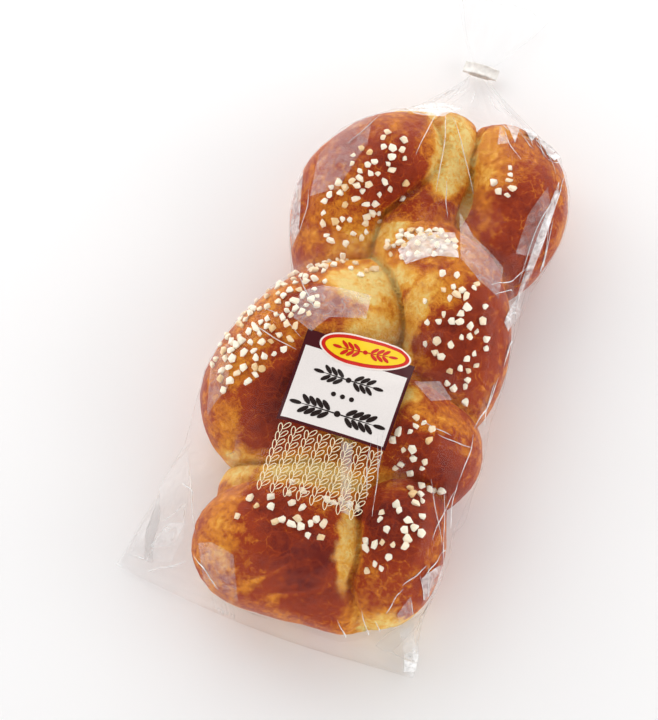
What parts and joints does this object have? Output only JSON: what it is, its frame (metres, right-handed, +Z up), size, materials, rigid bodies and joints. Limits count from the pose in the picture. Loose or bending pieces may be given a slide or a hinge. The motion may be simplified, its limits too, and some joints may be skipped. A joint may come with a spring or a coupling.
{
  "type": "plaited brioche in a clear bag",
  "caption": "Three-strand plaited brioche with pearl sugar on its crust, lying in a clear film bag that is gathered at the neck and held by a folded strip clip.",
  "frame": {"origin": "middle of the whole object's footprint, on the surface that it lies on", "axes": "+Y along the loaf towards the gathered neck and the clip, +X to the right seen from above with the neck away, +Z up out of the surface"},
  "size_m": [0.1928, 0.4526, 0.0847],
  "materials": {
    "crust": "egg-washed bread crust, satin, seen through clear film",
    "clip_strip": "satin white strip"
  },
  "bodies": {
    "root": {"bagged_brioche": "crust", "clip": "clip_strip"}
  },
  "joints": []
}
